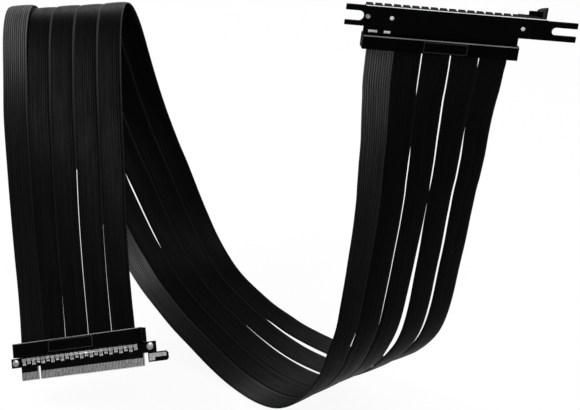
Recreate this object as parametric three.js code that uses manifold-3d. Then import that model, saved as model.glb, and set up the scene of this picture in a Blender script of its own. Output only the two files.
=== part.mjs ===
// A graphics card riser cable: a card-edge plug and a slot socket joined by five flat ribbons.
// Millimetres, +Z up. +X runs along the socket and +Y points out of the mouth of its slot.
// The origin is on the back face of the socket's board, midway between its two fixing slots.

import * as THREE from 'three';
import { mergeVertices } from 'three/addons/utils/BufferGeometryUtils.js';
import Module from 'manifold-3d';

const wasm = await Module();
wasm.setup();

// Sizes that both ends share
const clearance = 0.3;
const boardThickness = 1.6;
const clampWall = 3.2;
const clampSeam = 0.3;
const clampEdge = 0.5;
const contactPitch = 1;
const contactLand = 0.7;

// The five flat ribbons
const ribbonCount = 5;
const ribbonPitch = 16.4;
const ribbonWidth = 15.9;
const ribbonThickness = 1.1;
const ribbonBevel = 0.3;
const ribbonStepsPerPoint = 2;

// The plug's board and its card edge
const tongueWidth = 85.2;
const tongueShift = 2;
const keyOffset = 11.65;
const keyWidth = 1.9;
const keyDepth = 8.3;
const shortContacts = Math.floor(keyOffset / contactPitch);
const longContacts = Math.floor((tongueWidth - keyOffset - keyWidth) / contactPitch);
const plugBoardHeight = 18.6;
const tongueCorner = 0.5;
const tongueChamfer = 0.4;
const leftEarWidth = 6.9;
const leftEarHeight = 5.8;
const rightEarWidth = 8.5;
const rightEarHeight = 6.6;
const hookSlot = 3.2;
const hookLength = 13;
const hookHeight = 5.7;
const hookCorner = 1.2;

// What is fixed to the plug's board
const fingerHeight = 4.6;
const fingerThickness = 0.25;
const fingerTipMargin = 0.5;
const solderHeight = 5.2;
const solderThickness = 0.5;
const solderPitch = 3.4;
const solderInset = 1.2;
const solderTeeth = Math.floor((tongueWidth - 2 * solderInset) / solderPitch);
const solderSlit = 0.9;
const solderSlitHeight = 2.6;
const solderStep = 0.8;
const rivetInset = 3.3;
const rivetDrop = 2.9;
const rivetShank = 1.2;
const rivetHead = 2.3;
const rivetHeadHeight = 0.6;

// The plug's clamp
const plugClampPastLeft = 3;
const plugClampPastRight = 0.8;
const plugClampOverRibbons = 4.5;
const plugClampOverBoard = 4.2;
const plugPanelWidth = 31;
const plugPanelLeft = -18;
const endPadWidth = 4.2;
const panelMargin = 1;
const panelProud = 0.3;

// The socket's board
const socketBoardTop = 20;
const socketBodyLeft = 43.4;
const socketBodyRight = 45;
const socketNeckLeft = 41.6;
const socketNeckRight = 43;
const earBottom = 8.3;
const earLeftEnd = 54.4;
const earRightEnd = 78;
const earStepStart = 60.4;
const earStepDrop = 0.6;
const slotLine = 13.9;
const leftSlotRadius = 2.95;
const leftSlotSeat = 46.9;
const rightSlotRadius = 2.3;
const rightSlotSeat = 65.7;

// The slot housing, its contacts and its pegs
const housingLeft = 41.5;
const housingEndWall = 1.6;
const chamberSlack = 0.6;
const housingLength = tongueWidth + chamberSlack + 2 * housingEndWall;
const housingWidth = 8.7;
const housingDepth = 12.6;
const ribPitch = 5.3;
const ribGap = 1.5;
const ribHeight = 1.3;
const ribCount = Math.floor((housingLength + ribGap) / ribPitch);
const chamberWidth = 3.6;
const chamberDepth = 8.4;
const slotContactThickness = 0.55;
const slotContactHeight = 6.4;
const slotMouthMargin = 1.4;
const pegRadius = 1.2;
const pegProud = 0.35;
const pegReach = 1.6;
const pegKeyInset = 0.25;
const pegEndInset = 0.8;
const eyeletPast = 0.7;
const eyeletRadius = 1.25;
const eyeletBore = 0.5;
const eyeletProud = 0.2;

// The latch at the slot's end, in its two cheeks
const latchWallThickness = 1.7;
const cheekReach = 13;
const cheekThickness = 1.75;
const cheekHeight = 14.2;
const latchPivotAlong = 9.5;
const latchPivotDepth = 5.8;
const latchPinRadius = 0.8;
const latchTabHalfWidth = 6.2;
const latchTabStart = 15.8;

// The socket's clamp and the small parts on its board
const socketClampPastLeft = 1.9;
const socketClampPastRight = 2.6;
const socketClampOverRibbons = 4;
const socketClampOverBoard = 4;
const socketPanelWidth = 25;
const socketPanelLeft = -9;
const capacitorHeight = 1.1;
const capacitorDepth = 0.8;
const capacitorAbove = 1.1;
const longCapacitor = 5;
const longCapacitorPlace = -38.2;
const shortCapacitor = 3.5;
const shortCapacitorPlace = -30.1;

// The middle line of the ribbons, from their ends in the plug to their ends in the socket.
// Each row has a place, then the heading and the rise of the line across the ribbons.
const route = [
  [-187, 32, -216, -24, 22],
  [-193, 54, -181, -24, 22],
  [-198, 74, -151, -22, 21],
  [-202, 94, -121, -18, 19],
  [-206, 117, -92, -14, 17],
  [-208, 136, -70, -13, 16],
  [-209, 147, -58, -12, 15],
  [-209, 158, -50, -11, 13],
  [-208, 171, -46, -10, 12],
  [-206, 185, -47, -10, 11],
  [-202, 198, -53, -9, 12],
  [-198, 208, -64, -6, 14],
  [-190, 219, -88, 6, 19],
  [-180, 222, -114, 17, 20],
  [-168, 215, -140, 24, 17],
  [-148, 198, -175, 31, 13],
  [-128, 180, -208, 36, 9],
  [-112, 163, -228, 38, 7],
  [-95, 143, -240, 38, 7],
  [-77, 122, -248, 37, 8],
  [-59, 99, -253, 37, 11],
  [-41, 76, -253, 37, 13],
  [-26, 52, -246, 36, 11],
  [-14, 31, -229, 32, 6],
  [-6, 14, -207, 27, 2],
  [-1, 4, -180, 26, 1],
  [0, 1, -151, 25, 0],
  [1, -1, -107, 22, 0],
  [1, -1, -63, 16, 0],
  [0, 0, -32, 6, 0],
  [0, 0, -16, 0, 0],
  [0, 0, -7, 0, 0],
  [0, 0, 0, 0, 0],
];

// Colours of the finishes, and how they shine
const finishes = {
  ribbon: [0x17171a, 0.5, 0],
  moulding: [0x141416, 0.6, 0],
  board: [0x0f0f11, 0.55, 0],
  plating: [0xb9b9b6, 0.35, 0.8],
  solder: [0xc4c4c2, 0.45, 0.6],
  ceramic: [0xb2b0aa, 0.6, 0],
};

const part = new THREE.Group();
const plug = new THREE.Group();
const socket = new THREE.Group();

function addPiece(parent, name, geometry, finish) {
  const [color, roughness, metalness] = finishes[finish];
  const material = new THREE.MeshStandardMaterial({ color, roughness, metalness });
  const mesh = new THREE.Mesh(geometry, material);
  mesh.name = name;
  parent.add(mesh);
  return mesh;
}

// Solids that are cut or joined
function toSolid(geometry) {
  const bare = geometry.clone();
  bare.deleteAttribute('normal');
  bare.deleteAttribute('uv');
  const merged = mergeVertices(bare, 1e-4);
  const vertProperties = new Float32Array(merged.attributes.position.array);
  const triVerts = new Uint32Array(merged.index.array);
  return new wasm.Manifold(new wasm.Mesh({ numProp: 3, vertProperties, triVerts }));
}

function fromSolid(solid) {
  const { vertProperties, triVerts, numProp } = solid.getMesh();
  const positions = new Float32Array((vertProperties.length / numProp) * 3);
  for (let i = 0; i < positions.length / 3; i += 1) {
    for (let axis = 0; axis < 3; axis += 1) {
      positions[i * 3 + axis] = vertProperties[i * numProp + axis];
    }
  }
  const geometry = new THREE.BufferGeometry();
  geometry.setAttribute('position', new THREE.BufferAttribute(positions, 3));
  geometry.setIndex(new THREE.BufferAttribute(new Uint32Array(triVerts), 1));
  geometry.computeVertexNormals();
  return geometry;
}

function cut(geometry, tools) {
  const pieces = tools.map(toSolid);
  return fromSolid(pieces.reduce((body, tool) => body.subtract(tool), toSolid(geometry)));
}

function join(geometries) {
  const solids = geometries.map(toSolid);
  return fromSolid(solids.reduce((body, solid) => body.add(solid)));
}

// Plain forms
function outline(points) {
  return new THREE.Shape(points.map(([x, y]) => new THREE.Vector2(x, y)));
}

// A plate that stands in X and Z, and is as thick as yHigh - yLow
function standingPlate(shape, yLow, yHigh) {
  const geometry = new THREE.ExtrudeGeometry(shape, {
    depth: yHigh - yLow,
    bevelEnabled: false,
    curveSegments: 8,
  });
  return geometry.rotateX(Math.PI / 2).translate(0, yHigh, 0);
}

// A plate that lies in X and Y, and is as thick as zHigh - zLow
function lyingPlate(shape, zLow, zHigh) {
  const geometry = new THREE.ExtrudeGeometry(shape, {
    depth: zHigh - zLow,
    bevelEnabled: false,
    curveSegments: 6,
  });
  return geometry.translate(0, 0, zLow);
}

function block([xLow, xHigh], [yLow, yHigh], [zLow, zHigh]) {
  const geometry = new THREE.BoxGeometry(xHigh - xLow, yHigh - yLow, zHigh - zLow);
  return geometry.translate((xLow + xHigh) / 2, (yLow + yHigh) / 2, (zLow + zHigh) / 2);
}

// A round solid along Y, from pairs of a radius and a place on Y that rise along Y
function turned(profile, x, z, sides = 20) {
  const points = profile.map(([radius, y]) => new THREE.Vector2(radius, y));
  return new THREE.LatheGeometry(points, sides).translate(x, 0, z);
}

function rod(radius, [yLow, yHigh], x, z, sides) {
  return turned([[0, yLow], [radius, yLow], [radius, yHigh], [0, yHigh]], x, z, sides);
}

const boardHalf = boardThickness / 2;
const clampInner = boardHalf + clearance;
const clampOuter = clampInner + clampWall;

// The ribbons: each one is a straight strip that is then bent along the route
function routeCurves() {
  const places = route.map(([x, y, z]) => new THREE.Vector3(x, y, z));
  const across = route.map(([, , , heading, rise]) => {
    const turn = THREE.MathUtils.degToRad(heading);
    const lift = THREE.MathUtils.degToRad(rise);
    const flat = Math.cos(lift);
    return new THREE.Vector3(flat * Math.cos(turn), flat * Math.sin(turn), Math.sin(lift));
  });
  return {
    middle: new THREE.CatmullRomCurve3(places),
    across: new THREE.CatmullRomCurve3(across),
  };
}

const curves = routeCurves();

function routeFrame(share) {
  const origin = curves.middle.getPoint(share);
  const along = curves.middle.getTangent(share);
  const side = curves.across.getPoint(share);
  side.addScaledVector(along, -side.dot(along)).normalize();
  const face = new THREE.Vector3().crossVectors(along, side);
  return { origin, along, side, face };
}

function ribbon(index) {
  const halfWidth = ribbonWidth / 2;
  const halfThickness = ribbonThickness / 2;
  const section = outline([
    [-halfWidth, -halfThickness + ribbonBevel],
    [-halfWidth + ribbonBevel, -halfThickness],
    [halfWidth - ribbonBevel, -halfThickness],
    [halfWidth, -halfThickness + ribbonBevel],
    [halfWidth, halfThickness - ribbonBevel],
    [halfWidth - ribbonBevel, halfThickness],
    [-halfWidth + ribbonBevel, halfThickness],
    [-halfWidth, halfThickness - ribbonBevel],
  ]);
  const steps = (route.length - 1) * ribbonStepsPerPoint;
  const geometry = new THREE.ExtrudeGeometry(section, { depth: 1, steps, bevelEnabled: false });
  const place = (index - (ribbonCount - 1) / 2) * ribbonPitch;
  const position = geometry.attributes.position;
  const point = new THREE.Vector3();
  for (let i = 0; i < position.count; i += 1) {
    const frame = routeFrame(Math.min(Math.max(position.getZ(i), 0), 1));
    point.copy(frame.origin);
    point.addScaledVector(frame.side, place + position.getX(i));
    point.addScaledVector(frame.face, position.getY(i));
    position.setXYZ(i, point.x, point.y, point.z);
  }
  geometry.computeVertexNormals();
  return geometry;
}

for (let index = 0; index < ribbonCount; index += 1) {
  addPiece(part, `ribbon_${index + 1}`, ribbon(index), 'ribbon');
}

// One half of a clamp: a bevelled bar with a recess that takes the board and the ribbons.
// side is -1 for the half that faces -Y and 1 for the other.
function clampHalf(side, [left, right], [bottom, top], recess, pads) {
  const bar = outline([
    [left + clampEdge, bottom + clampEdge],
    [right - clampEdge, bottom + clampEdge],
    [right - clampEdge, top - clampEdge],
    [left + clampEdge, top - clampEdge],
  ]);
  const bevelled = new THREE.ExtrudeGeometry(bar, {
    depth: clampOuter - clampSeam / 2 - 2 * clampEdge,
    bevelEnabled: true,
    bevelThickness: clampEdge,
    bevelSize: clampEdge,
    bevelSegments: 2,
  });
  bevelled.rotateX(Math.PI / 2);
  bevelled.translate(0, side < 0 ? -clampSeam / 2 - clampEdge : clampOuter - clampEdge, 0);
  const past = 1;
  const inner = [Math.min(0, side * clampInner), Math.max(0, side * clampInner)];
  const hollow = block(recess, inner, [bottom - past, top + past]);
  const face = [side * (clampOuter - clampEdge), side * (clampOuter + panelProud)];
  const raised = pads.map(([low, high]) => (
    block([low, high], [Math.min(...face), Math.max(...face)],
      [bottom + panelMargin, top - panelMargin])
  ));
  return cut(join([bevelled, ...raised]), [hollow]);
}

// A row of contacts: a strip along X with a raised land for each contact, facing -Y or +Y
function contactRow(count, start, [zLow, zHigh], yBack, thickness, facing) {
  const groove = yBack + facing * thickness * 0.4;
  const land = yBack + facing * thickness;
  const margin = (contactPitch - contactLand) / 2;
  const end = start + count * contactPitch;
  const points = [[start + margin, yBack], [end - margin, yBack]];
  for (let index = count - 1; index >= 0; index -= 1) {
    const left = start + index * contactPitch;
    points.push([left + contactPitch - margin, land], [left + margin, land]);
    if (index > 0) {
      points.push([left, groove]);
    }
  }
  return lyingPlate(outline(points), zLow, zHigh);
}

// The plug, in its own frame: +Z towards the ribbons, the origin at their ends
const tongueLeft = tongueShift - tongueWidth / 2;
const tongueRight = tongueShift + tongueWidth / 2;
const plugTop = -clearance;
const plugTip = plugTop - plugBoardHeight;
const earTop = -plugClampOverBoard - clearance;
const leftEarEnd = tongueLeft - leftEarWidth;
const rightEarEnd = tongueRight + rightEarWidth;
const rightEarBottom = earTop - rightEarHeight;
const keyLeft = tongueLeft + keyOffset;
const keyRight = keyLeft + keyWidth;
const hookLeft = tongueRight + hookSlot;
const rivetPlaces = { left: leftEarEnd + rivetInset, right: rightEarEnd - rivetInset };
const rivetHeight = earTop - rivetDrop;
const ribbonsHalf = (ribbonCount * ribbonPitch) / 2;
const plugRecess = [Math.min(tongueLeft, -ribbonsHalf), Math.max(tongueRight, ribbonsHalf)];
const plugClampEnds = [plugRecess[0] - plugClampPastLeft, plugRecess[1] + plugClampPastRight];

function plugBoard() {
  const hookRight = hookLeft + hookLength;
  const hookBottom = rightEarBottom - hookHeight;
  const shape = outline([
    [tongueLeft, plugTop],
    [tongueLeft, earTop],
    [leftEarEnd, earTop],
    [leftEarEnd, earTop - leftEarHeight],
    [tongueLeft, earTop - leftEarHeight],
    [tongueLeft, plugTip + tongueCorner],
    [tongueLeft + tongueCorner, plugTip],
    [keyLeft, plugTip],
    [keyLeft, plugTip + keyDepth],
    [keyRight, plugTip + keyDepth],
    [keyRight, plugTip],
    [tongueRight - tongueCorner, plugTip],
    [tongueRight, plugTip + tongueCorner],
    [tongueRight, rightEarBottom],
    [hookLeft, rightEarBottom],
    [hookLeft, hookBottom],
    [hookRight - hookCorner, hookBottom],
    [hookRight, hookBottom + hookCorner],
    [hookRight, rightEarBottom - hookCorner],
    [hookRight - hookCorner, rightEarBottom],
    [rightEarEnd, rightEarBottom],
    [rightEarEnd, earTop],
    [tongueRight, earTop],
    [tongueRight, plugTop],
  ]);
  const plate = standingPlate(shape, -boardHalf, boardHalf);
  const through = [-boardHalf - 1, boardHalf + 1];
  const holes = Object.values(rivetPlaces).map((x) => (
    rod(rivetShank + clearance, through, x, rivetHeight, 16)
  ));
  const chamfers = [-1, 1].map((side) => {
    const wedge = new THREE.Shape();
    wedge.moveTo(side * (boardHalf + 0.1), plugTip - 0.1);
    wedge.lineTo(side * (boardHalf + 0.1), plugTip + tongueChamfer + 0.1);
    wedge.lineTo(side * (boardHalf - tongueChamfer - 0.1), plugTip - 0.1);
    const bar = new THREE.ExtrudeGeometry(wedge, {
      depth: tongueWidth + 2,
      bevelEnabled: false,
    });
    // The wedge is drawn in Y and Z, and runs along X
    bar.rotateX(Math.PI / 2).rotateZ(Math.PI / 2);
    return bar.translate(tongueLeft - 1, 0, 0);
  });
  return cut(plate, [...holes, ...chamfers]);
}

function solderComb(side) {
  const top = earTop;
  const start = tongueLeft + solderInset;
  const points = [[start, top]];
  for (let index = 0; index < solderTeeth; index += 1) {
    const left = start + index * solderPitch;
    const right = left + solderPitch - solderSlit;
    const bottom = top - solderHeight + (index % 2) * solderStep;
    points.push([left, bottom], [right, bottom]);
    if (index < solderTeeth - 1) {
      const slitTop = top - solderHeight + solderSlitHeight;
      points.push([right, slitTop], [left + solderPitch, slitTop]);
    }
  }
  points.push([start + solderTeeth * solderPitch - solderSlit, top]);
  const inner = side * (boardHalf + clearance);
  const outer = inner + side * solderThickness;
  return standingPlate(outline(points), Math.min(inner, outer), Math.max(inner, outer));
}

function rivet(x) {
  const face = boardHalf + clearance / 2;
  const top = face + rivetHeadHeight;
  const dome = rivetHead * 0.7;
  return turned([
    [0, -top],
    [dome, -top],
    [rivetHead, -face - rivetHeadHeight * 0.4],
    [rivetHead, -face],
    [rivetShank, -face],
    [rivetShank, face],
    [rivetHead, face],
    [rivetHead, face + rivetHeadHeight * 0.4],
    [dome, top],
    [0, top],
  ], x, rivetHeight);
}

function buildPlug() {
  addPiece(plug, 'plug_board', plugBoard(), 'board');
  const fingers = [plugTip + fingerTipMargin, plugTip + fingerTipMargin + fingerHeight];
  const shortStart = (tongueLeft + keyLeft - shortContacts * contactPitch) / 2;
  const longStart = (keyRight + tongueRight - longContacts * contactPitch) / 2;
  for (const [word, side] of [['front', -1], ['back', 1]]) {
    const back = side * (boardHalf + clearance);
    const short = contactRow(shortContacts, shortStart, fingers, back, fingerThickness, side);
    const long = contactRow(longContacts, longStart, fingers, back, fingerThickness, side);
    addPiece(plug, `plug_contacts_${word}_short`, short, 'plating');
    addPiece(plug, `plug_contacts_${word}_long`, long, 'plating');
    addPiece(plug, `plug_solder_${word}`, solderComb(side), 'solder');
    const endPadRight = plugClampEnds[1] - clampEdge;
    const pads = [
      [plugPanelLeft, plugPanelLeft + plugPanelWidth],
      [endPadRight - endPadWidth, endPadRight],
    ];
    const half = clampHalf(
      side,
      plugClampEnds,
      [-plugClampOverBoard, plugClampOverRibbons],
      [plugRecess[0] - clearance, plugRecess[1] + clearance],
      side < 0 ? pads : [],
    );
    addPiece(plug, `plug_clamp_${word}`, half, 'moulding');
  }
  addPiece(plug, 'plug_rivet_left', rivet(rivetPlaces.left), 'plating');
  addPiece(plug, 'plug_rivet_right', rivet(rivetPlaces.right), 'plating');
}

// The socket, in its own frame: +Z away from the ribbons, the origin at their ends
const housingFace = boardHalf + clearance;
const housingMouth = housingFace + housingDepth;
const housingRight = housingLength - housingLeft;
const chamberLength = tongueWidth + chamberSlack;
const chamberLeft = -housingLeft + (housingLength - chamberLength) / 2;
const shortChamberEnd = chamberLeft + keyOffset + chamberSlack / 2;
const longChamberStart = shortChamberEnd + keyWidth - chamberSlack;
const chamberRight = chamberLeft + chamberLength;
const chamberFloor = housingMouth - chamberDepth;
const pegPlaces = { key: shortChamberEnd - pegKeyInset, end: housingRight - pegEndInset };
const eyeletX = -ribbonsHalf - eyeletPast;
const latchX = housingRight + latchPivotAlong;
const latchY = housingFace + latchPivotDepth;

function socketBoard() {
  const shape = new THREE.Shape();
  const leftLow = slotLine - leftSlotRadius;
  const leftHigh = slotLine + leftSlotRadius;
  const rightLow = slotLine - rightSlotRadius;
  const rightHigh = slotLine + rightSlotRadius;
  const quarter = Math.PI / 2;
  shape.moveTo(-socketNeckLeft, clearance);
  shape.lineTo(socketNeckRight, clearance);
  shape.lineTo(socketNeckRight, socketClampOverBoard + clearance);
  shape.lineTo(socketBodyRight, socketClampOverBoard + clearance);
  shape.lineTo(socketBodyRight, earBottom);
  shape.lineTo(earRightEnd, earBottom);
  shape.lineTo(earRightEnd, rightLow);
  shape.lineTo(rightSlotSeat, rightLow);
  shape.absarc(rightSlotSeat, slotLine, rightSlotRadius, -quarter, quarter, true);
  shape.lineTo(earRightEnd, rightHigh);
  shape.lineTo(earRightEnd, socketBoardTop - earStepDrop);
  shape.lineTo(earStepStart, socketBoardTop - earStepDrop);
  shape.lineTo(earStepStart, socketBoardTop);
  shape.lineTo(-earLeftEnd, socketBoardTop);
  shape.lineTo(-earLeftEnd, leftHigh);
  shape.lineTo(-leftSlotSeat, leftHigh);
  shape.absarc(-leftSlotSeat, slotLine, leftSlotRadius, quarter, -quarter, true);
  shape.lineTo(-earLeftEnd, leftLow);
  shape.lineTo(-earLeftEnd, earBottom);
  shape.lineTo(-socketBodyLeft, earBottom);
  shape.lineTo(-socketBodyLeft, socketClampOverBoard + clearance);
  shape.lineTo(-socketNeckLeft, socketClampOverBoard + clearance);
  const plate = standingPlate(shape, -boardHalf, boardHalf);
  const through = [-boardHalf - 1, boardHalf + 1];
  const holes = Object.values(pegPlaces).map((x) => (
    rod(pegRadius + clearance, through, x, slotLine, 16)
  ));
  holes.push(rod(eyeletRadius + clearance, through, eyeletX, slotLine, 16));
  return cut(plate, holes);
}

function housingOutline() {
  const wall = housingWidth / 2 - ribHeight;
  const firstRib = -housingLeft + (housingLength - ribCount * ribPitch + ribGap) / 2;
  const points = [[-housingLeft, slotLine - wall]];
  for (let index = 0; index < ribCount; index += 1) {
    const left = firstRib + index * ribPitch;
    const right = left + ribPitch - ribGap;
    points.push([left, slotLine - wall], [left, slotLine - wall - ribHeight]);
    points.push([right, slotLine - wall - ribHeight], [right, slotLine - wall]);
  }
  points.push([housingRight, slotLine - wall], [housingRight, slotLine + wall]);
  for (let index = ribCount - 1; index >= 0; index -= 1) {
    const left = firstRib + index * ribPitch;
    const right = left + ribPitch - ribGap;
    points.push([right, slotLine + wall], [right, slotLine + wall + ribHeight]);
    points.push([left, slotLine + wall + ribHeight], [left, slotLine + wall]);
  }
  points.push([-housingLeft, slotLine + wall]);
  return outline(points);
}

function slotHousing() {
  const body = standingPlate(housingOutline(), housingFace, housingMouth);
  const halfWidth = housingWidth / 2;
  const overlap = 0.5;
  const endWall = block(
    [housingRight - overlap, housingRight + latchWallThickness],
    [housingFace, housingMouth],
    [slotLine - halfWidth, slotLine + halfWidth],
  );
  const cheekShape = outline([
    [housingRight - overlap, housingFace],
    [housingRight + cheekReach, housingFace],
    [housingRight + cheekReach, housingFace + cheekHeight * 0.5],
    [housingRight + cheekReach * 0.7, housingFace + cheekHeight * 0.93],
    [housingRight - overlap, housingFace + cheekHeight],
  ]);
  const cheeks = [-1, 1].map((side) => {
    const inner = slotLine + side * (halfWidth - cheekThickness);
    const outer = slotLine + side * halfWidth;
    return lyingPlate(cheekShape, Math.min(inner, outer), Math.max(inner, outer));
  });
  const chamberWall = [slotLine - chamberWidth / 2, slotLine + chamberWidth / 2];
  const chamberDepthRange = [chamberFloor, housingMouth + 1];
  const chambers = [
    block([chamberLeft, shortChamberEnd], chamberDepthRange, chamberWall),
    block([longChamberStart, chamberRight], chamberDepthRange, chamberWall),
  ];
  const pegHoles = Object.values(pegPlaces).map((x) => (
    rod(pegRadius + clearance, [0, housingFace + pegReach + clearance], x, slotLine, 16)
  ));
  const pinHole = new THREE.CylinderGeometry(
    latchPinRadius + clearance,
    latchPinRadius + clearance,
    housingWidth + 2,
    16,
  );
  pinHole.rotateX(Math.PI / 2).translate(latchX, latchY, slotLine);
  return cut(join([body, endWall, ...cheeks]), [...chambers, ...pegHoles, pinHole]);
}

function latch() {
  const halfBody = housingWidth / 2 - cheekThickness - clearance;
  // The lever from the side: its foot, the nose that holds the card, and the finger curl.
  // Places are from the pivot, along the slot and out of it.
  const lever = new THREE.Shape();
  lever.moveTo(-5, -3.5);
  lever.lineTo(1.6, -3.5);
  lever.lineTo(4.5, -0.5);
  lever.quadraticCurveTo(6.6, 1.4, 7.5, 3.2);
  lever.lineTo(7.4, 5);
  lever.quadraticCurveTo(5.2, 6, 5.1, 8.2);
  lever.quadraticCurveTo(5.4, 14.6, 10.4, 18.6);
  lever.lineTo(10.1, 19.8);
  lever.quadraticCurveTo(3.4, 17.2, 1.2, 10.4);
  lever.lineTo(-6.9, 9.7);
  lever.lineTo(-6.9, 7.9);
  lever.lineTo(-3.4, 7.1);
  lever.lineTo(-4.2, 3.5);
  lever.lineTo(-5, 0.5);
  const body = lyingPlate(lever, slotLine - halfBody, slotLine + halfBody);
  const wide = lyingPlate(lever, slotLine - latchTabHalfWidth, slotLine + latchTabHalfWidth);
  const pastLever = 2 * cheekHeight;
  const tabBox = block(
    [-pastLever, pastLever],
    [latchTabStart - latchPivotDepth, pastLever],
    [slotLine - latchTabHalfWidth - 1, slotLine + latchTabHalfWidth + 1],
  );
  const tab = fromSolid(toSolid(wide).intersect(toSolid(tabBox)));
  const bore = new THREE.CylinderGeometry(
    latchPinRadius + clearance,
    latchPinRadius + clearance,
    housingWidth,
    16,
  );
  bore.rotateX(Math.PI / 2).translate(0, 0, slotLine);
  return cut(join([body, tab]), [bore]).translate(latchX, latchY, 0);
}

function latchPin() {
  const pin = new THREE.CylinderGeometry(latchPinRadius, latchPinRadius, housingWidth, 16);
  return pin.rotateX(Math.PI / 2).translate(latchX, latchY, slotLine);
}

function peg(x) {
  const low = -boardHalf - pegProud;
  const high = housingFace + pegReach;
  return turned([
    [0, low],
    [pegRadius * 0.7, low],
    [pegRadius, low + pegProud],
    [pegRadius, high],
    [0, high],
  ], x, slotLine, 16);
}

function eyelet() {
  const low = -boardHalf - eyeletProud;
  const high = boardHalf - eyeletProud;
  return turned([
    [eyeletBore, low],
    [eyeletRadius, low],
    [eyeletRadius, high],
    [eyeletBore, high],
    [eyeletBore, low],
  ], eyeletX, slotLine, 16);
}

function capacitor(length, place) {
  const bottom = socketClampOverBoard + clearance + capacitorAbove;
  const face = -boardHalf - clearance;
  return block(
    [place - length / 2, place + length / 2],
    [face - capacitorDepth, face],
    [bottom, bottom + capacitorHeight],
  );
}

function buildSocket() {
  addPiece(socket, 'socket_board', socketBoard(), 'board');
  addPiece(socket, 'slot_housing', slotHousing(), 'moulding');
  const shortStart = (chamberLeft + shortChamberEnd - shortContacts * contactPitch) / 2;
  const longStart = (longChamberStart + chamberRight - longContacts * contactPitch) / 2;
  const depth = [housingMouth - slotMouthMargin - slotContactHeight, housingMouth - slotMouthMargin];
  for (const [word, side] of [['lower', -1], ['upper', 1]]) {
    const back = side * (chamberWidth / 2 - clearance);
    // The rows are drawn lying flat, then stood up in the slot
    const stand = (row) => row.rotateX(Math.PI / 2).translate(0, 0, slotLine);
    const flat = [-depth[1], -depth[0]];
    const short = contactRow(shortContacts, shortStart, flat, back, slotContactThickness, -side);
    const long = contactRow(longContacts, longStart, flat, back, slotContactThickness, -side);
    addPiece(socket, `slot_contacts_${word}_short`, stand(short), 'plating');
    addPiece(socket, `slot_contacts_${word}_long`, stand(long), 'plating');
  }
  addPiece(socket, 'slot_latch', latch(), 'moulding');
  addPiece(socket, 'latch_pin', latchPin(), 'plating');
  addPiece(socket, 'slot_peg_key', peg(pegPlaces.key), 'plating');
  addPiece(socket, 'slot_peg_end', peg(pegPlaces.end), 'plating');
  addPiece(socket, 'board_eyelet', eyelet(), 'plating');
  addPiece(socket, 'capacitor_long', capacitor(longCapacitor, longCapacitorPlace), 'ceramic');
  addPiece(socket, 'capacitor_short', capacitor(shortCapacitor, shortCapacitorPlace), 'ceramic');
  for (const [word, side] of [['front', -1], ['back', 1]]) {
    const half = clampHalf(
      side,
      [-socketNeckLeft - socketClampPastLeft, socketNeckRight + socketClampPastRight],
      [-socketClampOverRibbons, socketClampOverBoard],
      [-socketNeckLeft - clearance, socketNeckRight + clearance],
      side < 0 ? [[socketPanelLeft, socketPanelLeft + socketPanelWidth]] : [],
    );
    addPiece(socket, `socket_clamp_${word}`, half, 'moulding');
  }
}

buildPlug();
buildSocket();

// The plug is turned to the way the ribbons leave it
const start = routeFrame(0);
const turn = new THREE.Matrix4().makeBasis(
  start.side,
  new THREE.Vector3().crossVectors(start.along, start.side),
  start.along,
);
plug.quaternion.setFromRotationMatrix(turn);
plug.position.copy(start.origin);

part.add(plug, socket);
part.position.set((leftSlotSeat - rightSlotSeat) / 2, boardHalf, -slotLine);

export default part;
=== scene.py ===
# %% [markdown]
# # A graphics card riser cable
# The real object is an extension lead for a computer's card slot: a card-edge plug, a slot
# socket and five flat ribbons between them. Its solids are packed as a fixed frame. Blender adds
# what plain solids don't carry: the finish of each surface, the wires that show through the
# jackets, single contacts, soldered wire ends and softly rounded edges. Nothing is moved or
# resized, so each new piece is made where the frame says.

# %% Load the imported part
import math

import bmesh
import bpy
import numpy as np
from mathutils import Matrix, Vector


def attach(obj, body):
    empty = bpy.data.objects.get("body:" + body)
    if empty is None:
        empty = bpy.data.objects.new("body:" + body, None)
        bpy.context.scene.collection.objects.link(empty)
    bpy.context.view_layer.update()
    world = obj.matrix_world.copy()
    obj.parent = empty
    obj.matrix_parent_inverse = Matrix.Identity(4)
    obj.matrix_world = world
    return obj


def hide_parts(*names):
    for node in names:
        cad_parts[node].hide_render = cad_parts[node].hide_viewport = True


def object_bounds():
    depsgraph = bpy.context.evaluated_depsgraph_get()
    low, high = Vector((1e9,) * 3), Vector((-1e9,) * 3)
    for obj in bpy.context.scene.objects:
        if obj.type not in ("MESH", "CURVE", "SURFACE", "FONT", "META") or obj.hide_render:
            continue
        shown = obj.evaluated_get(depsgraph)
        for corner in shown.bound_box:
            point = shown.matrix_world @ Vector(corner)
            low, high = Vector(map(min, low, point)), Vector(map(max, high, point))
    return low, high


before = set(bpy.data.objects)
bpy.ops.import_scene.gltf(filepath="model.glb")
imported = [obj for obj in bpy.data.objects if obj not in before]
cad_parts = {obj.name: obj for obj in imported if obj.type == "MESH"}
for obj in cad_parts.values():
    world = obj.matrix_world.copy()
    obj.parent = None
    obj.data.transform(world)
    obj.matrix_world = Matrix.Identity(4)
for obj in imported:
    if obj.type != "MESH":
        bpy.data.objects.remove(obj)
solid_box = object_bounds()
mm = 0.001
scene = bpy.context.scene
scene.view_settings.view_transform = "Standard"

# %% [markdown]
# ## The camera
# It stands about a metre away, above the object and a little to its left, and looks down. A long
# lens keeps the two ends at nearly the same scale. The camera is also rolled, because the
# socket's board slopes down to the right in the view. Pointing it with a track rotation and then
# turning it about its own line of sight keeps the roll apart from the aim.

# %% Place the camera
camera_place = Vector((-0.2121, -0.8431, 0.2354))
camera_target = Vector((-0.0705, 0.0708, -0.1450))
camera_roll = math.radians(7.08)
camera_lens = 99.3
camera_sensor = 36.0


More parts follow.
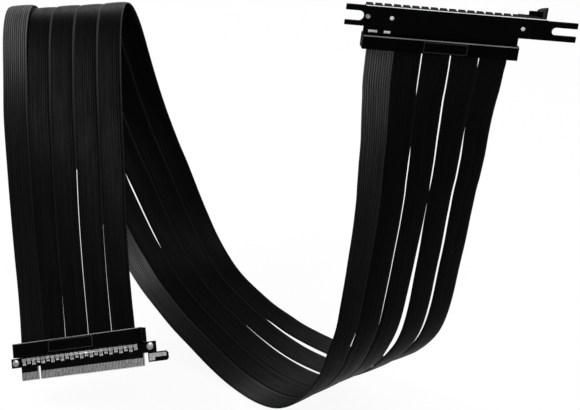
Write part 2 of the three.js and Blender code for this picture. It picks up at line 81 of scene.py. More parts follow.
def add_camera():
    data = bpy.data.cameras.new("camera")
    data.lens = camera_lens
    data.sensor_width = camera_sensor
    camera = bpy.data.objects.new("camera", data)
    scene.collection.objects.link(camera)
    aim = (camera_target - camera_place).to_track_quat("-Z", "Y").to_matrix().to_4x4()
    roll = Matrix.Rotation(camera_roll, 4, "Z")
    camera.matrix_world = Matrix.Translation(camera_place) @ aim @ roll
    scene.camera = camera
    return camera


camera = add_camera()
print("camera looks along", [round(x, 3) for x in camera.matrix_world.col[2][:3]])

# %% [markdown]
# ## The ribbons' route
# A flat cable can't be drawn as a round tube: besides its middle line it needs the line across
# it, which turns and tilts as the cable folds. So each row of the route has a place and two
# angles, the heading and the rise of the line across. A centripetal Catmull-Rom curve passes
# through the rows without the loops that a uniform one makes where rows lie close together.
# The rows are rounded to whole millimetres, so the line is then smoothed a little, because a
# glossy ribbon shows every small kink.

# %% The rows of the route
slot_seats = (46.9, 65.7)
slot_line = 13.9
board_half = 0.8
route_shift = np.array([(slot_seats[0] - slot_seats[1]) / 2, board_half, -slot_line])
route = [
    (-187, 32, -216, -24, 22),
    (-193, 54, -181, -24, 22),
    (-198, 74, -151, -22, 21),
    (-202, 94, -121, -18, 19),
    (-206, 117, -92, -14, 17),
    (-208, 136, -70, -13, 16),
    (-209, 147, -58, -12, 15),
    (-209, 158, -50, -11, 13),
    (-208, 171, -46, -10, 12),
    (-206, 185, -47, -10, 11),
    (-202, 198, -53, -9, 12),
    (-198, 208, -64, -6, 14),
    (-190, 219, -88, 6, 19),
    (-180, 222, -114, 17, 20),
    (-168, 215, -140, 24, 17),
    (-148, 198, -175, 31, 13),
    (-128, 180, -208, 36, 9),
    (-112, 163, -228, 38, 7),
    (-95, 143, -240, 38, 7),
    (-77, 122, -248, 37, 8),
    (-59, 99, -253, 37, 11),
    (-41, 76, -253, 37, 13),
    (-26, 52, -246, 36, 11),
    (-14, 31, -229, 32, 6),
    (-6, 14, -207, 27, 2),
    (-1, 4, -180, 26, 1),
    (0, 1, -151, 25, 0),
    (1, -1, -107, 22, 0),
    (1, -1, -63, 16, 0),
    (0, 0, -32, 6, 0),
    (0, 0, -16, 0, 0),
    (0, 0, -7, 0, 0),
    (0, 0, 0, 0, 0),
]
route_places = np.array([row[:3] for row in route], float) + route_shift
headings = np.radians([row[3] for row in route])
rises = np.radians([row[4] for row in route])
route_across = np.stack(
    [np.cos(rises) * np.cos(headings), np.cos(rises) * np.sin(headings), np.sin(rises)], axis=1
)
print("rows in the route:", len(route))


# %% A curve through the rows
def curve_through(points, shares):
    """The centripetal Catmull-Rom curve through the points, at shares from 0 to 1."""
    first = 2 * points[0] - points[1]
    last = 2 * points[-1] - points[-2]
    padded = np.vstack([first, points, last])
    spans = len(points) - 1
    places = np.clip(np.asarray(shares) * spans, 0, spans)
    start = np.minimum(places.astype(int), spans - 1)
    t = (places - start)[:, None]
    p0, p1, p2, p3 = (padded[start + k] for k in range(4))

    def knot(a, b):
        return np.sqrt(np.linalg.norm(b - a, axis=1))[:, None]

    d1 = knot(p1, p2)
    d1 = np.where(d1 < 1e-4, 1.0, d1)
    d0 = knot(p0, p1)
    d0 = np.where(d0 < 1e-4, d1, d0)
    d2 = knot(p2, p3)
    d2 = np.where(d2 < 1e-4, d1, d2)
    m1 = ((p1 - p0) / d0 - (p2 - p0) / (d0 + d1) + (p2 - p1) / d1) * d1
    m2 = ((p2 - p1) / d1 - (p3 - p1) / (d1 + d2) + (p3 - p2) / d2) * d1
    c2 = -3 * p1 + 3 * p2 - 2 * m1 - m2
    c3 = 2 * p1 - 2 * p2 + m1 + m2
    return p1 + m1 * t + c2 * t**2 + c3 * t**3


def unit(vectors):
    return vectors / np.linalg.norm(vectors, axis=-1, keepdims=True)


def smoothed(values, reach):
    """Values along the route, averaged over a bell of `reach` samples, with the ends kept."""
    wide = 3 * reach
    before = 2 * values[0] - values[wide:0:-1]
    after = 2 * values[-1] - values[-2:-wide - 2:-1]
    padded = np.concatenate([before, values, after])
    bell = np.exp(-0.5 * (np.arange(-wide, wide + 1) / reach) ** 2)
    bell /= bell.sum()
    return np.stack([np.convolve(padded[:, k], bell, mode="valid") for k in range(3)], axis=1)


# %% Frames at even steps along the ribbons
step_length = 2.2
smoothing = 4


def route_frames():
    """Origins and the three directions of the ribbons, one row for each step along them."""
    dense_shares = np.linspace(0, 1, 40 * len(route))
    dense = curve_through(route_places, dense_shares)
    gone = np.concatenate([[0], np.cumsum(np.linalg.norm(np.diff(dense, axis=0), axis=1))])
    steps = round(gone[-1] / step_length)
    shares = np.interp(np.linspace(0, gone[-1], steps + 1), gone, dense_shares)
    origin = smoothed(curve_through(route_places, shares), smoothing)
    along = unit(np.gradient(origin, axis=0))
    side = smoothed(curve_through(route_across, shares), smoothing)
    side = unit(side - along * np.sum(side * along, axis=1, keepdims=True))
    face = np.cross(along, side)
    return origin, along, side, face


origin, along, side, face = route_frames()
ring_count = len(origin)
run = np.concatenate([[0], np.cumsum(np.linalg.norm(np.diff(origin, axis=0), axis=1))])
share = run / run[-1]
print("ribbon run:", round(run[-1], 1), "mm in", ring_count, "rings")

# %% [markdown]
# ## How the five ribbons part
# The ribbons are fixed side by side only in the two clamps. Between them they drift apart, so
# light shows through narrow slits, and the outer one bulges out at the top fold. Five separate
# curves could do this, but they would soon cut through each other. So there is one run for all,
# and slits and lifts are small amounts, in mm, at a few shares of it. A negative slit means that
# two edges lap. The lifts and each ribbon's bow across fade to nothing at the clamps, where the
# moulding holds the ribbons in line.

# %% Slits and lifts along the run
ribbon_width = 15.9
ribbon_half_thickness = 0.55
slits = [
    [(0, -0.3), (0.17, -0.3), (0.22, -0.7), (0.28, -0.7), (0.33, -0.3), (0.765, -0.3), (0.785, 0.8),
     (0.81, -0.2), (1, -0.2)],
    [(0, 0.3), (0.03, 0.2), (0.05, -0.2), (0.43, -0.3), (0.45, 1.0), (0.49, 0.8), (0.512, -0.3),
     (0.765, -0.3), (0.79, 0.6), (0.83, 1.0), (0.92, 0.9), (0.94, -0.15), (0.963, -0.15),
     (0.973, 0.5), (0.99, 0.55), (1, 0.35)],
    [(0, 0.3), (0.12, 0.3), (0.17, 0.1), (0.19, -0.2), (0.585, -0.3), (0.6, 0.4), (0.64, 1.1),
     (0.67, 2.0), (0.7, 2.6), (0.727, -0.3), (0.755, -0.3), (0.78, 3.2), (0.81, 2.6), (0.85, 1.5),
     (0.885, 0.1), (0.897, -0.15), (0.91, 0.7), (0.95, 0.9), (0.99, 0.6), (1, 0.35)],
    [(0, 0.3), (0.11, 0.3), (0.15, -0.2), (0.59, -0.3), (0.61, 1.2), (0.65, 3.0), (0.7, 3.0),
     (0.76, 2.2), (0.8, 2.2), (0.86, 1.9), (0.92, 1.2), (0.955, -0.15), (0.985, -0.15),
     (0.993, 0.45), (1, 0.35)],
]
lifts = [
    [(0, 0), (0.18, 0), (0.26, -2.4), (0.34, 0), (0.74, 0), (0.85, -0.3), (1, 0)],
    [(0, 0), (0.1, 0.2), (0.25, 0.2), (0.34, 0), (0.74, 0), (0.85, -0.3), (1, 0)],
    [(0, 0), (0.1, -0.1), (0.26, -0.1), (0.34, 0), (0.62, 0), (0.75, 0.3), (1, 0)],
    [(0, 0), (0.12, 0.2), (0.26, 0.1), (0.34, 0), (0.62, 0), (0.75, -0.4), (1, 0)],
    [(0, 0), (0.1, -0.2), (0.26, -0.1), (0.34, 0), (0.62, 0), (0.75, 0.4), (1, 0)],
]
camber = 0.35
clamp_fade = 14.0


def eased(pairs):
    """The amounts of a short list, spread smoothly over every ring."""
    shares, amounts = np.array(pairs, float).T
    spans = np.clip(np.searchsorted(shares, share, side="right") - 1, 0, len(shares) - 2)
    t = np.clip((share - shares[spans]) / (shares[spans + 1] - shares[spans]), 0, 1)
    t = t * t * (3 - 2 * t)
    return amounts[spans] * (1 - t) + amounts[spans + 1] * t


fade = np.clip(np.minimum(run, run[-1] - run) / clamp_fade, 0, 1)
fade = fade * fade * (3 - 2 * fade)
gaps = np.stack([eased(pairs) for pairs in slits])
centres = np.concatenate([[np.zeros(ring_count)], np.cumsum(gaps + ribbon_width, axis=0)])
centres -= centres.mean(axis=0)
print("widest slit:", round(float(gaps.max()), 2), "mm")

# %% [markdown]
# ## Finishes
# A black object is drawn by its reflections, so its finishes differ mostly in how rough they are
# and in what lies under the surface. A painted picture could carry all that, but it would have to
# be wrapped round every fold. So each finish starts from a Principled shader, and small helpers
# add what every real surface has: a fine relief, and patches that differ a little in colour or
# in roughness.


# %% Helpers for finishes
grain_depth = 0.03 * mm


def finish(name, color, roughness, metallic=0.0, specular=0.5):
    material = bpy.data.materials.new(name)
    material.use_nodes = True
    shader = material.node_tree.nodes["Principled BSDF"]
    shader.inputs["Base Color"].default_value = (*color, 1)
    shader.inputs["Roughness"].default_value = roughness
    shader.inputs["Metallic"].default_value = metallic
    shader.inputs["Specular IOR Level"].default_value = specular
    material.diffuse_color = (*color, 1)
    return material


def add_node(material, kind, **settings):
    made = material.node_tree.nodes.new(kind)
    for key, value in settings.items():
        setattr(made, key, value)
    return made


def reckoned(material, operation, *operands):
    """The output of a Math node. Each operand is a number or another node's output."""
    made = add_node(material, "ShaderNodeMath", operation=operation)
    for socket, operand in zip(made.inputs, operands):
        if isinstance(operand, float):
            socket.default_value = operand
        else:
            material.node_tree.links.new(operand, socket)
    return made.outputs[0]


def ranged(material, amount, low, high, start=0.3, end=0.7):
    """A number that goes from low to high as the amount goes from start to end."""
    span = add_node(material, "ShaderNodeMapRange")
    span.inputs["From Min"].default_value = start
    span.inputs["From Max"].default_value = end
    span.inputs["To Min"].default_value = low
    span.inputs["To Max"].default_value = high
    material.node_tree.links.new(amount, span.inputs["Value"])
    return span.outputs["Result"]


def noise(material, scale, stretch=(1, 1, 1), detail=3.0, attribute=None):
    """The output of a noise texture, in the object's own space or along a stored attribute."""
    links = material.node_tree.links
    if attribute:
        stored = add_node(material, "ShaderNodeAttribute", attribute_name=attribute)
        source = stored.outputs["Vector"]
    else:
        source = add_node(material, "ShaderNodeTexCoord").outputs["Object"]
    mapping = add_node(material, "ShaderNodeMapping")
    mapping.inputs["Scale"].default_value = stretch
    texture = add_node(material, "ShaderNodeTexNoise")
    texture.inputs["Scale"].default_value = scale
    texture.inputs["Detail"].default_value = detail
    links.new(source, mapping.inputs["Vector"])
    links.new(mapping.outputs["Vector"], texture.inputs["Vector"])
    return texture.outputs["Fac"]


def relief(material, height, distance, strength=1.0):
    """Bends the light as if the surface rose by the height output times the distance."""
    shader = material.node_tree.nodes["Principled BSDF"]
    bump = add_node(material, "ShaderNodeBump")
    bump.inputs["Distance"].default_value = distance
    bump.inputs["Strength"].default_value = strength
    earlier = [link.from_socket for link in shader.inputs["Normal"].links]
    material.node_tree.links.new(height, bump.inputs["Height"])
    for normal in earlier:
        material.node_tree.links.new(normal, bump.inputs["Normal"])
    material.node_tree.links.new(bump.outputs["Normal"], shader.inputs["Normal"])


def spread(material, amount, socket, low, high, start=0.3, end=0.7):
    """Drives a number of the shader from low to high as the amount rises."""
    shader = material.node_tree.nodes["Principled BSDF"]
    number = ranged(material, amount, low, high, start, end)
    material.node_tree.links.new(number, shader.inputs[socket])


def tint(material, amount, low, high, start=0.3, end=0.7):
    """Drives the shader's colour from low to high as the amount rises."""
    ramp = add_node(material, "ShaderNodeValToRGB")
    ramp.color_ramp.elements[0].position = start
    ramp.color_ramp.elements[0].color = (*low, 1)
    ramp.color_ramp.elements[1].position = end
    ramp.color_ramp.elements[1].color = (*high, 1)
    shader = material.node_tree.nodes["Principled BSDF"]
    material.node_tree.links.new(amount, ramp.inputs["Fac"])
    material.node_tree.links.new(ramp.outputs["Color"], shader.inputs["Base Color"])


def grey(value):
    """A grey with a trace of blue, as black plastics have under a pale sky."""
    return (value, value, value * 1.02)


# %% [markdown]
# ## The ribbons' jackets
# The jackets are glossy black plastic. They shine along the run, with long shallow hollows. Their
# sealed edges are painted a little paler all along, and edges and ridges much paler where the light
# catches them, above all at the folds: painted highlights. One grey for all would look like new
# rubber, so the painted tone follows the run: a short list gives it at a few shares, once for the
# sealed edges and once for the ridges of each kind of jacket.

# %% Jackets of the ribbons
wires_per_ribbon = 10
sealed_edge = 1.1
edge_start = 6.9 * mm
edge_end = 7.6 * mm
hollow_depth = 0.5 * mm
hollow_strength = 0.7
roughness_play = 0.07
breakup_low = 0.6
breakup_high = 1.4
# Tones of the sealed edges along the run: a little paler than the middle all along, and much paler
# at the top fold, painted highlights where the edges catch the light.
edge_highlight_tones = [(0.0, 0.003), (0.13, 0.004), (0.18, 0.016), (0.25, 0.035), (0.3, 0.004), (1.0, 0.003)]


def lie_parts(material):
    """The place across and along the ribbon, as the outputs X and Y, in metres."""
    place = add_node(material, "ShaderNodeAttribute", attribute_name="lie")
    parts = add_node(material, "ShaderNodeSeparateXYZ")
    material.node_tree.links.new(place.outputs["Vector"], parts.inputs[0])
    return parts


def tone_along(material, tones):
    """A grey that changes along the run, from pairs of (share, tone)."""
    run_length = float(run[-1]) * mm
    along_run = reckoned(material, "DIVIDE", lie_parts(material).outputs["Y"], run_length)
    ramp = add_node(material, "ShaderNodeValToRGB")
    ramp.color_ramp.interpolation = "B_SPLINE"
    stops = ramp.color_ramp.elements
    while len(stops) < len(tones):
        stops.new(1.0)
    for stop, (at, tone) in zip(stops, tones):
        stop.position = at
        stop.color = (*grey(tone), 1)
    material.node_tree.links.new(along_run, ramp.inputs["Fac"])
    return ramp.outputs["Color"]


def paint_ridge_highlights(material, tones):
    """Paints highlights on the ridges at places along the run, in paler tones broken up by noise.
    """
    links = material.node_tree.links
    shader = material.node_tree.nodes["Principled BSDF"]
    # Noise that breaks the painted highlights up into lengthwise streaks.
    highlight_breakup = noise(material, 1.0, stretch=(1500, 30, 1), detail=4, attribute="lie")
    amount = ranged(material, highlight_breakup, breakup_low, breakup_high)
    turn_per_metre = math.pi * wires_per_ribbon / (ribbon_width - 2 * sealed_edge) / mm
    turn = reckoned(material, "MULTIPLY", lie_parts(material).outputs["X"], turn_per_metre)
    crest = reckoned(material, "ABSOLUTE", reckoned(material, "SINE", turn))
    crest_highlight = reckoned(material, "MULTIPLY", crest, amount)
    crest_highlight_tone = add_node(material, "ShaderNodeVectorMath", operation="SCALE")
    links.new(tone_along(material, tones), crest_highlight_tone.inputs[0])
    links.new(crest_highlight, crest_highlight_tone.inputs["Scale"])
    added = add_node(material, "ShaderNodeVectorMath", operation="ADD")
    links.new(shader.inputs["Base Color"].links[0].from_socket, added.inputs[0])
    links.new(crest_highlight_tone.outputs[0], added.inputs[1])
    links.new(added.outputs[0], shader.inputs["Base Color"])


def jacket(name, low, high, edge, roughness, specular):
    """A streaked, hollowed black, with painted highlights in paler tones on the sealed edges."""
    material = finish(name, grey(low), roughness, specular=specular)
    links = material.node_tree.links
    streaks = noise(material, 1.0, stretch=(900, 14, 1), detail=4, attribute="lie")
    tint(material, streaks, grey(low), grey(high))
    shader = material.node_tree.nodes["Principled BSDF"]
    streaked = shader.inputs["Base Color"].links[0].from_socket
    distance = reckoned(material, "ABSOLUTE", lie_parts(material).outputs["X"])
    near_edge = ranged(material, distance, 0.0, 1.0, edge_start, edge_end)
    mix = add_node(material, "ShaderNodeMix", data_type="RGBA")
    factor, middle_tone, edge_highlight_tone = (mix.inputs[place] for place in (0, 6, 7))
    links.new(near_edge, factor)
    links.new(streaked, middle_tone)
    links.new(tone_along(material, edge), edge_highlight_tone)
    links.new(mix.outputs[2], shader.inputs["Base Color"])
    rubbed = noise(material, 1.0, stretch=(260, 60, 1), detail=3, attribute="lie")
    smoothest, roughest = roughness - roughness_play, roughness + roughness_play
    spread(material, rubbed, "Roughness", smoothest, roughest)
    hollows = noise(material, 1.0, stretch=(330, 4, 1), detail=3, attribute="lie")
    relief(material, hollows, hollow_depth, hollow_strength)
    grain = noise(material, 1.0, stretch=(5200, 3600, 1), detail=2, attribute="lie")
    relief(material, grain, grain_depth, 0.5)
    return material


# Painted highlights on the outer ribbon's ridges along the run: at the top fold, where it comes out
# from behind the left leg, at the bottom bend, and towards the socket.
outer_ribbon_highlights = [
    (0.0, 0.002),
    (0.15, 0.0),
    (0.19, 0.006),
    (0.22, 0.055),
    (0.30, 0.057),
    (0.36, 0.005),
    (0.46, 0.01),
    (0.49, 0.06),
    (0.51, 0.12),
    (0.535, 0.03),
    (0.59, 0.002),
    (0.635, 0.012),
    (0.655, 0.05),
    (0.675, 0.014),
    (0.72, 0.0),
    (0.83, 0.002),
    (0.90, 0.009),
    (0.95, 0.022),
    (1.0, 0.08),
]
ribbed_jacket = jacket("ribbed jacket", 0.0006, 0.0030, edge_highlight_tones, 0.38, 0.012)
paint_ridge_highlights(ribbed_jacket, outer_ribbon_highlights)
# A faint painted highlight on the smooth jackets' ridges near the socket.
socket_end_highlight = [(0.0, 0.0), (0.92, 0.0), (1.0, 0.003)]
smooth_jacket = jacket("smooth jacket", 0.0004, 0.0016, edge_highlight_tones, 0.36, 0.016)
paint_ridge_highlights(smooth_jacket, socket_end_highlight)
print("tones along the outer ribbon:", len(outer_ribbon_highlights))

# %% [markdown]
# ## Mouldings, boards and metals
# The rest has plain finishes: matt black mouldings and boards, grey plated contacts, duller
# solder, and pale ceramic. One function makes all the plastics and one all the metals, because
# they differ only in tone, in roughness and in how coarse their patches are.


# %% Moulding, board, metal and ceramic
def moulded(name, color, roughness, specular):
    material = finish(name, grey(color), roughness, specular=specular)
    tint(material, noise(material, 90, detail=3), grey(color * 0.75), grey(color * 1.3))
    spread(material, noise(material, 240), "Roughness", roughness - 0.06, roughness + 0.06)
    relief(material, noise(material, 4200, detail=2), grain_depth, 0.45)
    return material


def metal(name, low, high, roughness, scale, depth):
    material = finish(name, grey(high), roughness, metallic=1.0)
    tint(material, noise(material, scale, detail=4), grey(low), grey(high))
    spread(material, noise(material, scale * 2.3), "Roughness", roughness - 0.1, roughness + 0.12)
    relief(material, noise(material, scale * 1.4, detail=3), depth, 0.6)
    return material


clamp_moulding = moulded("clamp moulding", 0.0006, 0.45, 0.010)
slot_moulding = moulded("slot moulding", 0.0009, 0.46, 0.010)
latch_moulding = moulded("latch moulding", 0.002, 0.44, 0.02)
# A pale finish for the bars' upper edges: a painted highlight where their top edge catches the
# light.
painted_highlight_edge = moulded("moulding edge with painted highlight", 0.11, 0.40, 0.20)
board_mask = moulded("board mask", 0.0009, 0.40, 0.014)
laminate = moulded("cut laminate", 0.50, 0.60, 0.40)
worn_moulding = moulded("worn moulding", 0.014, 0.42, 0.12)
plating = metal("contact plating", 0.17, 0.30, 0.36, 700, 0.01 * mm)
steel = metal("rivet metal", 0.15, 0.26, 0.42, 500, 0.02 * mm)
tinned = metal("tinned wire", 0.24, 0.68, 0.42, 900, 0.06 * mm)
spring_metal = metal("spring metal", 0.40, 0.55, 0.30, 700, 0.01 * mm)
ceramic = moulded("ceramic", 0.42, 0.50, 0.45)
peg_plastic = moulded("peg plastic", 0.50, 0.45, 0.45)
print("finishes:", len(bpy.data.materials))

# %% [markdown]
# ## Making and dressing a piece
# Every piece does the same four things: it gets a mesh, it rides on a body of the frame, it takes
# its finishes, and it hides the solids that it replaces.


# %% Helpers for pieces
def dress(name, mesh, materials, nodes=(), body="cable", place=None):
    obj = bpy.data.objects.new(name, mesh)
    scene.collection.objects.link(obj)
    mesh.materials.clear()
    for material in materials:
        mesh.materials.append(material)
    if place is not None:
        obj.matrix_world = place
    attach(obj, body)
    if nodes:
        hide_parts(*nodes)
    return obj


def mesh_from(name, vertices, faces, smooth=True):
    mesh = bpy.data.meshes.new(name)
    mesh.from_pydata([tuple(v) for v in vertices], [], [tuple(f) for f in faces])
    mesh.update()
    if smooth:
        mesh.shade_smooth()
    else:
        mesh.shade_flat()
    return mesh


def round_edges(obj, width, segments=2, angle=30):
    bevel = obj.modifiers.new("rounded edges", "BEVEL")
    bevel.width = width
    bevel.segments = segments
    bevel.limit_method = "ANGLE"
    bevel.angle_limit = math.radians(angle)
    bevel.harden_normals = True
    obj.data.shade_smooth()


# %% [markdown]
# ## The ribbons
# Each ribbon holds a row of shielded wires under one jacket. The jacket follows them, so it has a
# ridge over each wire. That ridge is real geometry here, because the outer ribbon shows it from a
# step away. A section is drawn once, then carried along the frames of the route, ring after ring,
# and every point also stores where it lies across and along the ribbon, so that the finish can
# run its streaks lengthwise round every fold.

# %% The section of a ribbon
sealed_half_thickness = 0.3
edge_round = 0.25
edge_points = 7
crest_fullness = 0.7


def ribbon_section(ridge, points_per_wire):
    """A closed outline of the section: the face side, then the other side back again."""
    inner = ribbon_width - 2 * sealed_edge
    count = wires_per_ribbon * points_per_wire
    across = np.linspace(-inner / 2, inner / 2, count + 1)
    wave = np.abs(np.sin(np.pi * np.arange(count + 1) / points_per_wire)) ** crest_fullness
    height = ribbon_half_thickness - ridge + ridge * wave
    height[0] = height[-1] = sealed_half_thickness
    flange = ribbon_width / 2 - edge_round
    turn = np.linspace(np.pi / 2, -np.pi / 2, edge_points)
    edge_x = flange + edge_round * np.cos(turn)
    edge_y = sealed_half_thickness * np.sin(turn)
    x = np.concatenate([across, edge_x, across[::-1], -edge_x[::-1]])
    y = np.concatenate([height, edge_y, -height[::-1], edge_y[::-1]])
    bow = camber * (1 - (2 * x / ribbon_width) ** 2)
    return x, y, bow


# %% Build the five ribbons
# The outer ribbon is seen from close by, so its ridges are higher and have more points.
outer_ridge = (0.17, 6)
inner_ridge = (0.10, 4)
streak_offset = 0.37


def ribbon_piece(index):
    x, y, bow = ribbon_section(*(outer_ridge if index == 0 else inner_ridge))
    lift = eased(lifts[index]) * fade
    middle = origin + side * centres[index][:, None] + face * lift[:, None]
    ring = middle[:, None, :] + side[:, None, :] * x[None, :, None]
    height = y[None, :] + (0.5 * camber - bow)[None, :] * fade[:, None]
    ring = ring + face[:, None, :] * height[:, :, None]
    count = len(x)
    vertices = (ring * mm).reshape(-1, 3)
    first = np.arange(count)
    following = np.roll(first, -1)
    starts = (np.arange(ring_count - 1) * count)[:, None]
    quads = np.stack(
        [starts + first, starts + following, starts + count + following, starts + count + first],
        axis=2,
    ).reshape(-1, 4)
    ends = [tuple(first[::-1]), tuple(first + (ring_count - 1) * count)]
    name = f"flat_ribbon_{index + 1}"
    mesh = mesh_from(name, vertices, [tuple(q) for q in quads.tolist()] + ends)
    lie = mesh.attributes.new("lie", "FLOAT_VECTOR", "POINT")
    across = np.tile(x, ring_count) * mm
    length = np.repeat(run, count) * mm
    apart = np.full_like(across, index * streak_offset)
    lie.data.foreach_set("vector", np.stack([across, length, apart], axis=1).ravel())
    material = ribbed_jacket if index == 0 else smooth_jacket
    obj = dress(name, mesh, [material], [f"ribbon_{index + 1}"])
    lengths = np.linalg.norm(np.diff(middle, axis=0), axis=1)
    return lengths.sum()


ribbon_lengths = [ribbon_piece(index) for index in range(5)]
print("ribbon lengths, mm:", [round(float(x), 1) for x in ribbon_lengths])

# %% [markdown]
# ## Rounded edges on the rigid pieces
# A moulding or a board is never as sharp as its solid, and the thin bright line on a rounded edge
# is what makes a black part readable. Each rigid piece is a copy of its solid. The copy's flat
# faces are merged first, so that the bevel meets whole edges and not the triangles' diagonals.


# %% Frames of the two ends
nearby = 1e-4


def end_frame(share_at):
    """The frame of a clamp: +X across the ribbons, +Y their face, +Z along them."""
    start = min(share_at, 1 - nearby)
    places = curve_through(route_places, np.array([start, start + nearby]))
    out = unit(places[1] - places[0])
    across = curve_through(route_across, [share_at])[0]
    across = unit(across - out * np.dot(across, out))
    up = np.cross(out, across)
    matrix = Matrix.Identity(4)
    for row in range(3):
        matrix[row][0] = across[row]
        matrix[row][1] = up[row]
        matrix[row][2] = out[row]
    at = curve_through(route_places, [share_at])[0] * mm
    return Matrix.Translation(at) @ matrix


plug_frame = end_frame(0.0)
socket_frame = end_frame(1.0)
ends = (("plug", plug_frame), ("socket", socket_frame))
print("origin of each end, m:", [[round(x, 3) for x in place.translation] for _, place in ends])


def softened(name, node, material, width, place, body="cable", segments=2):
    """A copy of a solid with its flat faces merged and its edges rounded by the width in mm."""
    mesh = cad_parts[node].data.copy()
    mesh.name = name
    mesh.transform(place.inverted())
    shape = bmesh.new()
    shape.from_mesh(mesh)
    bmesh.ops.remove_doubles(shape, verts=shape.verts, dist=1e-6)
    bmesh.ops.dissolve_limit(
        shape, angle_limit=math.radians(1), verts=shape.verts, edges=shape.edges
    )
    shape.to_mesh(mesh)
    shape.free()
    if "custom_normal" in mesh.attributes:
        mesh.attributes.remove(mesh.attributes["custom_normal"])
    obj = dress(name, mesh, [material], [node], body, place)
    round_edges(obj, width * mm, segments)
    return obj


# %% Soften the rigid pieces
def paint_faces(obj, material, chosen):
    """Gives a second finish to the faces that the test `chosen(centre, normal)` picks, in mm."""
    obj.data.materials.append(material)
    place = len(obj.data.materials) - 1
    count = 0
    for face in obj.data.polygons:
        if chosen(face.center / mm, face.normal):
            face.material_index = place
            count += 1
    return count


def local_box(node, place):
    """Lowest and highest corner of a solid in the frame of its end, in mm."""
    back = place.inverted()
    corners = np.array([back @ v.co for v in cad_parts[node].data.vertices]) / mm
    return corners.min(axis=0), corners.max(axis=0)


bar_round = 0.22
highlight_above = 3.0
bars = {}
for word in ("front", "back"):
    for end, place in ends:
        bars[end, word] = softened(
            f"{end}_bar_{word}", f"{end}_clamp_{word}", clamp_moulding, bar_round,
            place, segments=3,
        )
# The front bars' faces along the upper edge take the pale finish: a painted highlight.
for end, _ in ends:
    painted = paint_faces(
        bars[end, "front"], painted_highlight_edge,
        lambda centre, normal: centre.z > highlight_above and normal.z > 0.3 and normal.y < -0.2,
    )
    print(end, "bar: faces with painted highlight along the upper edge:", painted)
plug_card = softened("plug_card", "plug_board", board_mask, 0.08, plug_frame)
socket_card = softened("socket_card", "socket_board", board_mask, 0.08, socket_frame)
softened("slot_body", "slot_housing", slot_moulding, 0.15, socket_frame)
softened("slot_lever", "slot_latch", latch_moulding, 0.18, socket_frame, "latch")
softened("lever_pin", "latch_pin", steel, 0.12, socket_frame)
for word in ("key", "end"):
    softened(f"peg_{word}", f"slot_peg_{word}", peg_plastic, 0.1, socket_frame)
softened("eyelet", "board_eyelet", plating, 0.08, socket_frame)
for word in ("left", "right"):
    softened(f"rivet_{word}", f"plug_rivet_{word}", steel, 0.12, plug_frame)

# %% [markdown]
# ## Cut edges of the boards
# A black board is only black on its faces. Where it was sawn or milled, the pale laminate shows
# as a thin line. A strip laid along the edge would stand proud of it, so the faces of the edge
# simply get the laminate's finish. One long face is first split where the slot's body ends.

# %% Show the laminate where the boards were cut
card_low, card_high = local_box("plug_board", plug_frame)
socket_edge = local_box("socket_board", socket_frame)[1][2]
edge_band = 0.3
tongue_depth = 6.0
hook_reach = 14.0
ear_step = 60.4
body_left = -43.4


def split_at(obj, x):
    """Cuts the mesh's faces at a plane across X, so that one side can take another finish."""
    shape = bmesh.new()
    shape.from_mesh(obj.data)
    everything = shape.verts[:] + shape.edges[:] + shape.faces[:]
    bmesh.ops.bisect_plane(shape, geom=everything, plane_co=(x * mm, 0, 0), plane_no=(1, 0, 0))
    shape.to_mesh(obj.data)
    shape.free()


painted = paint_faces(
    plug_card, laminate,
    lambda centre, normal: centre.z < card_low[2] + tongue_depth and abs(normal.y) < 0.9
    and centre.x < card_high[0] - hook_reach,
)
split_at(socket_card, body_left)
painted += paint_faces(
    socket_card, laminate,
    lambda centre, normal: normal.z > 0.9 and centre.z > socket_edge - edge_band
    and body_left < centre.x < ear_step,
)
print("faces of cut laminate:", painted)

# %% [markdown]
# ## Single contacts on the card edge
# From a step away the fingers of a card edge look like a comb of thin pale bars. The solids hold
# each row as one strip, so here every finger is its own thin plate with rounded corners, lying on
# the board. Plates that repeat are made as one mesh from one outline.


# %% Helpers for plates, rods and blobs
def rounded_rectangle(x_low, x_high, z_low, z_high, radius, steps=3):
    points = []
    corners = [
        (x_high - radius, z_high - radius, 0),
        (x_low + radius, z_high - radius, 1),
        (x_low + radius, z_low + radius, 2),
        (x_high - radius, z_low + radius, 3),
    ]
    for x, z, quarter in corners:
        for step in range(steps + 1):
            angle = (quarter + step / steps) * math.pi / 2
            points.append((x + radius * math.cos(angle), z + radius * math.sin(angle)))
    return points


def plates_mesh(name, outlines, y_low, y_high):
    """Flat plates that stand in X and Z, each from one outline, in mm."""
    vertices = []
    faces = []
    for points in outlines:
        start = len(vertices)
        count = len(points)
        vertices += [(x * mm, y_low * mm, z * mm) for x, z in points]
        vertices += [(x * mm, y_high * mm, z * mm) for x, z in points]
        faces.append([start + k for k in range(count)])
        faces.append([start + count + k for k in reversed(range(count))])
        for k in range(count):
            after = (k + 1) % count
            faces.append([start + after, start + k, start + count + k, start + count + after])
    return mesh_from(name, vertices, faces, smooth=False)


def add_rod(shape, x, y, z_low, z_high, radius, sides=10):
    place = Matrix.Translation(Vector((x, y, (z_low + z_high) / 2)) * mm)
    bmesh.ops.create_cone(
        shape, cap_ends=True, segments=sides, radius1=radius * mm, radius2=radius * mm,
        depth=(z_high - z_low) * mm, matrix=place,
    )


def add_blob(shape, x, y, z, radii):
    place = Matrix.Translation(Vector((x, y, z)) * mm) @ Matrix.Diagonal((*radii, 1))
    bmesh.ops.create_uvsphere(shape, u_segments=10, v_segments=8, radius=mm, matrix=place)


def add_block(shape, middle, size):
    """A box from its middle and its three sizes, in mm. Gives back its corners."""
    corners = bmesh.ops.create_cube(shape, size=1.0)["verts"]
    stretch = Matrix.Diagonal((*(length * mm for length in size), 1))
    place = Matrix.Translation(Vector(middle) * mm) @ stretch
    bmesh.ops.transform(shape, matrix=place, verts=corners)
    return corners


